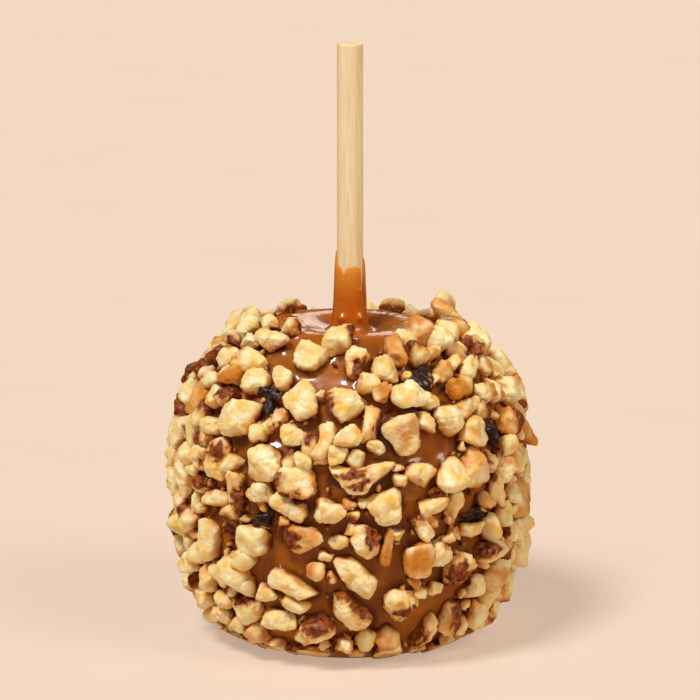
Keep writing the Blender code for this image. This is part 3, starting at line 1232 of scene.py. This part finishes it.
@dataclass
class Hollows:
    """Rounded hollows pressed into pieces, several for each: the side, the width and the depth."""

    side: Array
    width: Array
    depth: Array

    @classmethod
    def drawn(cls, count: int, each: int, deepest: float, chance: np.random.Generator) -> "Hollows":
        """Draws hollows that lie mostly round the edges of the pieces.

        Args:
            count: How many pieces.
            each: Hollows in each piece.
            deepest: Largest share of the reach that a hollow takes away.
            chance: Source of the hollows.

        Returns:
            The hollows. The first of each piece is the deepest, and the one that keeps its skin.
        """
        side = chance.normal(size=(count, each, 3)) * (1.0, 1.0, 0.55) + (0.0, 0.0, 0.1)
        side /= np.linalg.norm(side, axis=-1, keepdims=True)
        depth = np.sort(chance.uniform(0.25, 1.0, (count, each)) * deepest, axis=1)[:, ::-1]
        return cls(side, chance.uniform(0.3, 0.62, (count, each)), depth)

    def press(self, reach: Array, directions: Array) -> Array:
        """Shortens each reach by depth times exp(-(1 - cos a) / width^2) at angle a from a hollow.

        Args:
            reach: Reach of each piece in each direction.
            directions: The unit directions.

        Returns:
            The shortened reach.
        """
        facing = np.einsum("nkj,vj->nvk", self.side, directions)
        press = self.depth[:, None] * np.exp((facing - 1) / self.width[:, None] ** 2)
        return reach * np.prod(1 - press, axis=-1)


@dataclass
class KernelSurface:
    """Turns plain forms into rough broken kernel and says what covers each point of it."""

    form: CoatForm
    ground: float = 0.15
    foot_radius: float = 28.6
    foot_slope: float = 0.6
    lump: tuple[float, float] = (2.4, 0.22)
    crumb: tuple[float, float] = (1.0, 0.2)
    grit: tuple[float, float] = (0.48, 0.19)
    ridge: tuple[float, float] = (1.5, 0.42)
    # Painted shade: the first height is how far above the coat the lower part of a piece is painted golden
    # toast. Under the next two the foot is painted dark caramel, partly real caramel and partly painted
    # shade.
    painted_shade_height: float = 4.2
    glaze_and_shade_height: float = 2.1
    full_glaze_and_shade_height: float = 1.0
    sharpness: float = 17.0
    deepest_cut: float = 0.68

    def broken(
        self, reach: Array, directions: Array, cuts: int, chance: np.random.Generator
    ) -> Array:
        """Cuts flat broken faces into forms given by their reach in each direction.

        A plane facing the unit direction n at distance h is reached after h / (d . n) along d. The
        new reach is the soft least of the old one and of every plane's, which rounds the edges.

        Args:
            reach: Reach of each piece in each direction.
            directions: The unit directions.
            cuts: Cutting planes for each piece.
            chance: Source of the planes.

        Returns:
            The shortened reach.
        """
        chosen = chance.integers(1, len(directions) - 1, (len(reach), cuts))
        depth = chance.uniform(self.deepest_cut, 1.0, chosen.shape)
        distance = np.take_along_axis(reach, chosen, 1) * depth
        facing = np.maximum(np.einsum("nkj,vj->nvk", directions[chosen], directions), 1e-3)
        planes = ((facing / distance[:, None]) ** self.sharpness).sum(-1)
        return (reach**-self.sharpness + planes) ** (-1 / self.sharpness)

    @staticmethod
    def offset(seeds: Array) -> Array:
        """Moves each piece to its own part of the noise."""
        return np.stack((seeds * 7.31, seeds * 3.17, seeds * 5.53), -1)[:, None]

    def rough(self, local: Array, seeds: Array, skin: Array) -> Array:
        """Adds crumbs to broken faces and ridges to skin.

        Each point moves along its own direction from the middle. Broken kernel takes lumps with
        creases between them, a half minus the size of a noise, then crumbs and grit. Skin takes
        ridges where a noise crosses nought. Each of them has a size and a height in millimetres.

        Args:
            local: Points of each piece in its own axes, pieces by points by 3.
            seeds: One number for each piece.
            skin: Share of skin at each point.

        Returns:
            The moved points.
        """
        place = local + self.offset(seeds)
        lump = 0.5 - 1.1 * np.abs(rough_noise(place / self.lump[0], 5, 2))
        crumb = self.lump[1] * lump + self.crumb[1] * lattice_noise(place / self.crumb[0], 6)
        grit = self.grit[1] * lattice_noise(place / self.grit[0], 8)
        ridge = self.ridge[1] * (1 - 2.4 * np.abs(lattice_noise(place / self.ridge[0], 12)))
        size = np.linalg.norm(local, axis=-1)
        lift = (crumb + grit) * (1 - 0.6 * skin) + ridge * skin
        lift *= np.clip(size / 2.6, 0.2, 1.0)
        return local * (1 + lift / np.maximum(size, 0.3))[..., None]

    def skin_field(self, local: Array, seeds: Array, cover: "Cover") -> Array:
        """How far inside its skin each point is: how squarely it faces the skin's side, plus rags.

        Args:
            local: Points of each piece in its own axes.
            seeds: One number for each piece.
            cover: What covers each piece.

        Returns:
            A value for each point, above 0 where there is skin.
        """
        place = local + self.offset(seeds) + 40
        away = local / np.maximum(np.linalg.norm(local, axis=-1, keepdims=True), 1e-6)
        facing = np.einsum("nvk,nk->nv", away, cover.side)
        rags = 0.4 * lattice_noise(place / (3.4, 1.3, 1.3), 21) + 0.24 * lattice_noise(place / 0.8, 22)
        return facing + rags + cover.skin[:, None]

    def toast_mask(self, local: Array, seeds: Array, field_of_skin: Array, cover: "Cover") -> Array:
        """Share of toasting: wide soft patches at 4 mm, and a rim round the skin.

        Args:
            local: Points of each piece in its own axes.
            seeds: One number for each piece.
            field_of_skin: How far inside its skin each point is.
            cover: What covers each piece.

        Returns:
            The share of toasting at each point.
        """
        place = local + self.offset(seeds) + 80
        patch = smooth_step(-0.1, 0.9, rough_noise(place / 4.0, 25, 2) + cover.toast[:, None])
        rim = 0.75 * smooth_step(-0.45, 0.05, field_of_skin)
        return np.maximum(patch, rim)

    def height_on_coat(self, world: Array) -> Array:
        """Height of each point above the coat, with the uneven climb of the caramel taken off."""
        return self.form.height_above(world) + 0.9 * lattice_noise(world / 2.1, 61)

    def finish_points(
        self, local: Array, batch: WalnutBatch, seeds: Array, cover: "Cover"
    ) -> tuple[Array, Array]:
        """Roughens the pieces, puts them in place and works out their channels.

        Args:
            local: Points of each piece in its own axes, pieces by points by 3.
            batch: The pieces' places and axes.
            seeds: One number for each piece.
            cover: What covers each piece.

        Returns:
            World points, and four channels for each: skin, toast, dark skin and the caramel foot. The
            toast also holds painted shade on the lower part of each piece, and the caramel foot is partly
            painted shade.
        """
        field_of_skin = self.skin_field(local, seeds, cover)
        skin = smooth_step(0.0, 0.1, field_of_skin)
        toast = self.toast_mask(local, seeds, field_of_skin, cover)
        local = self.rough(local, seeds, skin)
        world = np.einsum("nvk,nkj->nvj", local, batch.axes) + batch.middle[:, None]
        out = np.maximum(np.hypot(world[..., 0], world[..., 1]) - self.foot_radius, 0)
        world[..., 2] = np.maximum(world[..., 2], self.ground + self.foot_slope * out)
        dark = cover.dark[:, None] * smooth_step(0.2, 0.6, skin)
        above = self.height_on_coat(world)
        # Painted shade: the lower part of each piece, within a few millimetres of the coat, is painted
        # golden toast.
        toast = np.maximum(toast, 0.9 * smooth_step(self.painted_shade_height, 1.2, above))
        # Painted shade: the foot of each piece, up to about 2 mm above the coat, is painted dark caramel,
        # partly real caramel.
        glaze_and_shade = smooth_step(self.glaze_and_shade_height, self.full_glaze_and_shade_height, above)
        return world, np.stack((skin, toast, dark, glaze_and_shade), -1)


@dataclass
class ChunkMaker:
    """Makes many separate pieces from their descriptions, joined into one mesh for each finish."""

    form: CoatForm
    surface: KernelSurface
    rings: int
    columns: int
    embed_share: float = 0.16
    lean: float = 12.0
    cuts: int = 6
    deepest_hollow: float = 0.55
    swell: tuple[float, float] = (0.22, 0.12)
    growth: float = 1.24

    def batch(self, chunks: list[Chunk], chance: np.random.Generator) -> WalnutBatch:
        """Stands each piece in the coat, leaning a little at random.

        Args:
            chunks: The pieces.
            chance: Source of the leaning.

        Returns:
            Their places, axes and half-sizes.
        """
        longitude = np.array([chunk.longitude for chunk in chunks], dtype=float)
        height = np.array([chunk.height for chunk in chunks], dtype=float)
        places, frames = self.form.frames(longitude, height)
        half = np.array([(c.length, c.breadth, c.outward_depth) for c in chunks]) / 2
        tilt = np.radians([chunk.tilt for chunk in chunks])
        lean = np.radians(chance.uniform(-self.lean, self.lean, len(chunks)))
        level, uphill, outward = frames[:, 0], frames[:, 1], frames[:, 2]
        along = level * np.cos(tilt)[:, None] + uphill * np.sin(tilt)[:, None]
        leaning = along * np.cos(lean)[:, None] + outward * np.sin(lean)[:, None]
        outward = outward * np.cos(lean)[:, None] - along * np.sin(lean)[:, None]
        across = np.cross(outward, leaning)
        middle = places + frames[:, 2] * (half[:, 2] * (1 - 2 * self.embed_share))[:, None]
        return WalnutBatch(middle, np.stack((leaning, across, outward), 1), half)

    def plain(
        self,
        chunks: list[Chunk],
        half: Array,
        seeds: Array,
        hollows: Hollows,
        chance: np.random.Generator,
    ) -> Array:
        """Broken blocks before roughening.

        The reach in a direction is a power mean of the distances to a block's six faces. Two swells
        of noise make it lumpy, and cutting planes leave flat broken faces. The block is then waisted,
        tapered and bent along its length.

        Args:
            chunks: The pieces.
            half: Their half-sizes.
            seeds: One number for each piece.
            hollows: The hollows in each piece.
            chance: Source of the cutting planes.

        Returns:
            Points in each piece's axes, pieces by points by 3.
        """
        directions = ball_directions(self.rings, self.columns)
        shape = np.array([chunk.form.value for chunk in chunks])
        power, waist, taper, bend = (shape[:, index, None] for index in range(4))
        reach = (np.abs(directions)[None] ** power[..., None]).sum(-1) ** (-1 / power)
        place = directions * reach[..., None] + self.surface.offset(seeds)
        swell = self.swell[0] * lattice_noise(place * 1.2, 1) + self.swell[1] * lattice_noise(place * 2.6, 2)
        reach = self.surface.broken(reach * (self.growth + swell), directions, self.cuts, chance)
        reach = hollows.press(reach, directions)
        unit = directions * reach[..., None]
        along, across, outward = unit[..., 0], unit[..., 1], unit[..., 2]
        girth = (1 - waist * (1 - along**2)) * (1 - taper * along)
        bow = bend * (along**2 - 0.35)
        local = np.stack((along, across * girth + bow, outward * girth), -1)
        return local * half[:, None]

    def build(
        self, name: str, chunks: list[Chunk], finish: bpy.types.Material, seed: int
    ) -> WalnutBatch:
        """Makes one joined piece for each finish among the chunks.

        Args:
            name: Start of the pieces' names.
            chunks: The pieces.
            finish: The kernel's material.
            seed: Picks their shapes.

        Returns:
            The places of all of them.
        """
        chance = np.random.default_rng(seed)
        batch = self.batch(chunks, chance)
        seeds = seed * 100.0 + np.arange(len(chunks))
        hollows = Hollows.drawn(len(chunks), 3, self.deepest_hollow, chance)
        local = self.plain(chunks, batch.half, seeds, hollows, chance)
        cover = Cover.drawn([chunk.skin for chunk in chunks], hollows.side[:, 0], chance)
        world, channels = self.surface.finish_points(local, batch, seeds, cover)
        triangles = globe_triangles(self.rings, self.columns)
        count = world.shape[1]
        for skin in Skin:
            chosen = np.array([index for index, chunk in enumerate(chunks) if chunk.skin is skin])
            if len(chosen) == 0:
                continue
            offsets = (np.arange(len(chosen)) * count)[:, None, None]
            faces = (triangles[None] + offsets).reshape(-1, 3)
            points = world[chosen].reshape(-1, 3)
            values = channels[chosen].reshape(-1, 4)
            add_piece(f"{name}_{skin.name.lower()}", points, faces, finish, values)
        return batch


@dataclass
class LargeWalnuts:
    """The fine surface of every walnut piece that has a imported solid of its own."""

    form: CoatForm
    surface: KernelSurface
    rings: int = 44
    columns: int = 60
    smoothing: int = 2
    cuts: int = 4
    deepest_hollow: float = 0.4
    seed: int = 77
    growth: float = 1.13
    swell: float = 0.22
    swell_size: float = 3.0

    @staticmethod
    def reach(corners: Array, origin: Array, directions: Array) -> Array:
        """How far a solid reaches from an inner point in each direction.

        Every direction is tried against every triangle at once, and the furthest crossing counts.

        Args:
            corners: Triangles by 3 corners by 3.
            origin: The inner point.
            directions: Unit directions.

        Returns:
            The reach in each direction.
        """
        first = corners[:, 1] - corners[:, 0]
        second = corners[:, 2] - corners[:, 0]
        start = origin - corners[:, 0]
        side = np.cross(directions[:, None], second[None])
        size = np.einsum("vtj,tj->vt", side, first)
        size = np.where(np.abs(size) < 1e-12, 1e-12, size)
        u = np.einsum("vtj,tj->vt", side, start) / size
        turned = np.cross(start, first)
        v = np.einsum("vj,tj->vt", directions, turned) / size
        far = np.einsum("tj,tj->t", second, turned)[None] / size
        slack = 1e-6
        inside = (u >= -slack) & (v >= -slack) & (u + v <= 1 + slack) & (far > 0)
        return np.where(inside, far, 0).max(1)

    def smoothed(self, reach: Array) -> Array:
        """Rounds the facets by averaging each point of the globe with its four neighbours.

        Args:
            reach: Reach in each direction of the globe.

        Returns:
            The smoothed reach.
        """
        grid = reach[1:-1].reshape(self.rings, self.columns)
        north, south = reach[0], reach[-1]
        for _ in range(self.smoothing):
            above = np.concatenate((np.full((1, self.columns), north), grid[:-1]))
            below = np.concatenate((grid[1:], np.full((1, self.columns), south)))
            sides = np.roll(grid, 1, 1) + np.roll(grid, -1, 1)
            grid = (grid * 2 + above + below + sides) / 6
            north, south = grid[0].mean(), grid[-1].mean()
        return np.concatenate(([north], grid.ravel(), [south]))

    def axes_of(self, corners: Array, middle: Array) -> Array:
        """Axes of a solid: outward from the coat, and along its longest way in the surface.

        Args:
            corners: Triangles by 3 corners by 3.
            middle: Middle of the solid.

        Returns:
            Rows along, across and outward.
        """
        longitude = np.degrees(np.arctan2(middle[0], -middle[1]))
        height = np.clip(middle[2], 1, 76)
        outward = self.form.frames(np.array([longitude]), np.array([height]))[1][0, 2]
        spread = corners.reshape(-1, 3) - middle
        spread = spread - np.outer(spread @ outward, outward)
        along = np.linalg.eigh(spread.T @ spread)[1][:, -1]
        along -= outward * (along @ outward)
        along /= np.linalg.norm(along)
        return np.stack((along, np.cross(outward, along), outward))

    def build(self, finish: bpy.types.Material) -> WalnutBatch:
        """Makes one fine piece for each packed walnut solid.

        Args:
            finish: The kernel's material.

        Returns:
            The places of all of them.
        """
        slots = {part["node"]: part["material_slot"] for part in frame["record"]["subparts"]}
        names = sorted(name for name in frame["nodes"] if name.startswith("walnut_"))
        kinds = {skin.slot: skin for skin in Skin if skin is not Skin.CLEAN}
        directions = ball_directions(self.rings, self.columns)
        triangles = globe_triangles(self.rings, self.columns)
        chance = np.random.default_rng(self.seed)
        found = []
        for number, name in enumerate(names):
            mesh = frame["nodes"][name].data
            mesh.calc_loop_triangles()
            places = np.array([vertex.co for vertex in mesh.vertices]) / MM
            corners = places[np.array([tri.vertices for tri in mesh.loop_triangles])]
            middle = (places.min(0) + places.max(0)) / 2
            axes = self.axes_of(corners, middle)
            reach = self.smoothed(self.reach(corners, middle, directions @ axes))
            place = (directions * reach[:, None])[None] / self.swell_size
            place = place + self.surface.offset(np.array([number]))
            reach = reach[None] * (self.growth + self.swell * lattice_noise(place, 3))
            hollows = Hollows.drawn(1, 3, self.deepest_hollow, chance)
            reach = self.surface.broken(reach, directions, self.cuts, chance)
            local = directions * hollows.press(reach, directions)[0, :, None]
            half = np.abs((places - middle) @ axes.T).max(0)
            one = WalnutBatch(middle[None], axes[None], half[None])
            kind = kinds[slots[name]]
            cover = Cover.drawn([kind], hollows.side[:, 0], chance)
            seeds = np.array([500.0 + number])
            world, channels = self.surface.finish_points(local[None], one, seeds, cover)
            piece = add_piece(f"kernel_{name}", world[0], triangles, finish, channels[0])
            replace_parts(piece, name)
            found.append(one)
        batch = found[0]
        for one in found[1:]:
            batch = batch.joined(one)
        return batch


@dataclass(frozen=True)
class ScatterPass:
    """One round of filling: piece radii, how many tries, how close, and whether only far round."""

    smallest: float
    largest: float
    tries: int
    closeness: float
    far_only: bool = False


@dataclass
class Filler:
    """Fills the coat between the placed pieces with smaller ones that don't cover each other."""

    FORMS: ClassVar = (Form.BLOCK, Form.LOBE, Form.BAR, Form.WEDGE, Form.BLOCK, Form.CRESCENT)
    SKINS: ClassVar = (P, P, P, P, T, P, P, K, T, K)

    form: CoatForm
    chance: np.random.Generator
    crown_bare: float = 22.0
    far_crown_bare: float = 27.0
    lowest: float = 3.2
    highest: float = 78.6
    far_longitude: float = 92
    most_stretch: float = 1.28
    spots: Array = field(init=False)
    spot_radii: Array = field(init=False)

    def __post_init__(self) -> None:
        """Finds where the bare patches lie on the coat."""
        patches = np.array(BARE_PATCHES)
        self.spots = self.form.frames(patches[:, 0], patches[:, 1])[0]
        self.spot_radii = patches[:, 2]

    @staticmethod
    def footprints(batch: WalnutBatch) -> tuple[Array, Array]:
        """Each piece as three discs along its length: their middles and radii.

        Args:
            batch: The pieces.

        Returns:
            Middles and radii of the discs.
        """
        radius = np.minimum(batch.half[:, 0], batch.half[:, 1])
        run = np.maximum(batch.half[:, 0] - radius, 0)
        steps = np.array((-1.0, 0.0, 1.0))
        shift = steps[None, :, None] * run[:, None, None] * batch.axes[:, None, 0]
        middles = (batch.middle[:, None] + shift).reshape(-1, 3)
        return middles, np.repeat(radius, 3)

    def bare(self, place: Array) -> bool:
        """Whether a place lies on a patch of caramel that stays bare.

        Args:
            place: A place on the coat.

        Returns:
            True where nothing is to stick.
        """
        near_patch = np.linalg.norm(self.spots - place, axis=1) < self.spot_radii
        from_axis = math.hypot(place[0], place[1])
        far = min(max(place[1] / max(from_axis, 1.0), 0.0) * 1.5, 1.0)
        crown = self.crown_bare + (self.far_crown_bare - self.crown_bare) * far
        return bool(near_patch.any() or from_axis < crown and place[2] > self.form.waist_height)

    def fill(self, taken: WalnutBatch, passes: tuple[ScatterPass, ...]) -> list[Chunk]:
        """Throws pieces at the coat, from large to small, and keeps those that find room.

        Args:
            taken: The pieces that are there already.
            passes: The rounds.

        Returns:
            The pieces that found room.
        """
        middles, radii = self.footprints(taken)
        kept: list[Chunk] = []
        for one in passes:
            longitudes = self.chance.uniform(-180, 180, one.tries)
            heights = self.chance.uniform(self.lowest, self.highest, one.tries)
            sizes = self.chance.uniform(one.smallest, one.largest, one.tries)
            places, frames = self.form.frames(longitudes, heights)
            for longitude, height, size, place, axes in zip(longitudes, heights, sizes, places, frames):
                if one.far_only and abs(longitude) < self.far_longitude:
                    continue
                middle = place + axes[2] * size * 0.5
                room = np.linalg.norm(middles - middle, axis=1) - one.closeness * (radii + size)
                if room.min() < 0 or self.bare(place):
                    continue
                stretch = self.chance.uniform(1.0, self.most_stretch)
                kept.append(
                    Chunk(
                        longitude,
                        height,
                        2 * size * stretch,
                        2 * size / stretch,
                        self.chance.uniform(-90, 90),
                        self.FORMS[self.chance.integers(len(self.FORMS))],
                        self.SKINS[self.chance.integers(len(self.SKINS))],
                    )
                )
                middles = np.concatenate((middles, middle[None]))
                radii = np.append(radii, size)
        return kept


# ---------------------------------------------------------------------------------------------
# The studio
# ---------------------------------------------------------------------------------------------


@dataclass(frozen=True)
class SoftLight:
    """A broad, far light: the direction it comes from, its width seen from the apple and its power."""

    name: str
    source: tuple[float, float, float]
    width_degrees: float
    power: float
    color: Color

    def build(self) -> None:
        """Adds the light."""
        light = bpy.data.lights.new(self.name, "SUN")
        light.angle = math.radians(self.width_degrees)
        light.energy = self.power
        light.color = self.color
        lamp = bpy.data.objects.new(self.name, light)
        lamp.location = self.source
        lamp.rotation_euler = (-Vector(self.source)).to_track_quat("-Z", "Y").to_euler()
        bpy.context.scene.collection.objects.link(lamp)


@dataclass
class Studio:
    """Peach floor, soft lights and the camera in front of the apple."""

    camera_place: tuple[float, float, float] = (0.0, -0.880, 0.266)
    aim: tuple[float, float, float] = (0.0, 0.0, 0.0705)
    lens: float = 189.6
    sensor_width: float = 36
    furthest: float = 50
    floor_half: float = 6.0
    air: Color = linear(255, 200, 132)
    air_strength: float = 0.1
    wall: Color = linear(242, 216, 194)
    lights: tuple[SoftLight, ...] = (
        SoftLight("key", (-0.41, -0.46, 1.0), 17.0, 2.55, (1.0, 0.99, 0.97)),
        SoftLight("right", (0.90, -0.55, 0.90), 30.0, 1.05, (1.0, 0.94, 0.82)),
        SoftLight("backdrop", (0.16, 0.95, 0.36), 22.0, 0.2, (1.0, 0.88, 0.76)),
    )

    def build(self) -> None:
        """Adds floor, lights, air and camera."""
        self.add_floor()
        for light in self.lights:
            light.build()
        self.add_air()
        self.add_camera()

    def add_floor(self) -> None:
        """Adds the paper that the apple stands on."""
        half = self.floor_half
        mesh = bpy.data.meshes.new("floor")
        corners = [(-half, -half, 0), (half, -half, 0), (half, half, 0), (-half, half, 0)]
        mesh.from_pydata(corners, [], [(0, 1, 2, 3)])
        mesh.materials.append(PaperFinish().build())
        floor = bpy.data.objects.new("floor", mesh)
        bpy.context.scene.collection.objects.link(floor)
        floor.visible_glossy = False

    def add_air(self) -> None:
        """Adds the soft light from all round, and the pale wall that only the camera sees."""
        world = bpy.data.worlds.new("soft_air")
        world.use_nodes = True
        nodes, links = world.node_tree.nodes, world.node_tree.links
        air = nodes["Background"]
        air.inputs["Color"].default_value = (*self.air, 1)
        air.inputs["Strength"].default_value = self.air_strength
        wall = nodes.new("ShaderNodeBackground")
        wall.inputs["Color"].default_value = (*self.wall, 1)
        choice = nodes.new("ShaderNodeMixShader")
        links.new(nodes.new("ShaderNodeLightPath").outputs["Is Camera Ray"], choice.inputs[0])
        links.new(air.outputs[0], choice.inputs[1])
        links.new(wall.outputs[0], choice.inputs[2])
        links.new(choice.outputs[0], nodes["World Output"].inputs["Surface"])
        bpy.context.scene.world = world
        bpy.context.scene.view_settings.view_transform = "Standard"

    def add_camera(self) -> None:
        """Adds the camera in front of the apple, a little above it."""
        scene = bpy.context.scene
        lens = bpy.data.cameras.new("camera")
        lens.lens = self.lens
        lens.sensor_width = self.sensor_width
        lens.clip_end = self.furthest
        camera = bpy.data.objects.new("camera", lens)
        camera.location = self.camera_place
        look = Vector(self.aim) - Vector(self.camera_place)
        camera.rotation_euler = look.to_track_quat("-Z", "Y").to_euler()
        scene.collection.objects.link(camera)
        scene.camera = camera


# ---------------------------------------------------------------------------------------------
# The whole apple
# ---------------------------------------------------------------------------------------------


# Seeds of the shapes of each group of pieces, and of where the filling pieces fall.
FILLER_SEED, FAR_SEED, BROKEN_SEED, CRUMB_SEED, FIRST_GROUP_SEED = 12, 4, 5, 6, 30
FAR_PASSES = (ScatterPass(3.2, 4.2, 500, 0.95, True), ScatterPass(2.5, 3.2, 900, 0.95, True))
BROKEN_PASSES = (ScatterPass(1.9, 2.9, 2600, 0.86), ScatterPass(1.1, 1.7, 900, 0.84))
CRUMB_PASSES = (ScatterPass(0.4, 0.8, 900, 0.8),)


def main() -> None:
    """Builds the stick, the walnut pieces from large to small, the caramel round them and the studio."""
    low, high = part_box("coated_apple")
    form = CoatForm(radius=(high.x - low.x) / 2 / MM)
    stick_low, stick_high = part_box("stick")
    stick = Stick((stick_high.x - stick_low.x) / 2 / MM, stick_low.z / MM, stick_high.z / MM)
    stick.build(WoodFinish().build())
    kernel = KernelFinish().build()
    surface = KernelSurface(form)
    walnuts = LargeWalnuts(form, surface).build(kernel)
    medium = ChunkMaker(form, surface, rings=34, columns=46)
    for seed, (name, chunks) in enumerate(CHUNK_GROUPS.items(), start=FIRST_GROUP_SEED):
        walnuts = walnuts.joined(medium.build(name, list(chunks), kernel, seed))
    filler = Filler(form, np.random.default_rng(FILLER_SEED))
    far = filler.fill(walnuts, FAR_PASSES)
    walnuts = walnuts.joined(medium.build("far", far, kernel, FAR_SEED))
    small = ChunkMaker(form, surface, rings=15, columns=20)
    broken = filler.fill(walnuts, BROKEN_PASSES)
    walnuts = walnuts.joined(small.build("broken", broken, kernel, BROKEN_SEED))
    crumbs = ChunkMaker(form, surface, rings=6, columns=9, embed_share=0.3)
    crumbs.build("crumbs", filler.fill(walnuts, CRUMB_PASSES), kernel, CRUMB_SEED)
    CaramelCoat(form, stick.radius).build(walnuts, CaramelFinish().build())
    Studio().build()


if __name__ == "__main__":
    logging.basicConfig(level=logging.INFO, format="%(message)s")
    main()
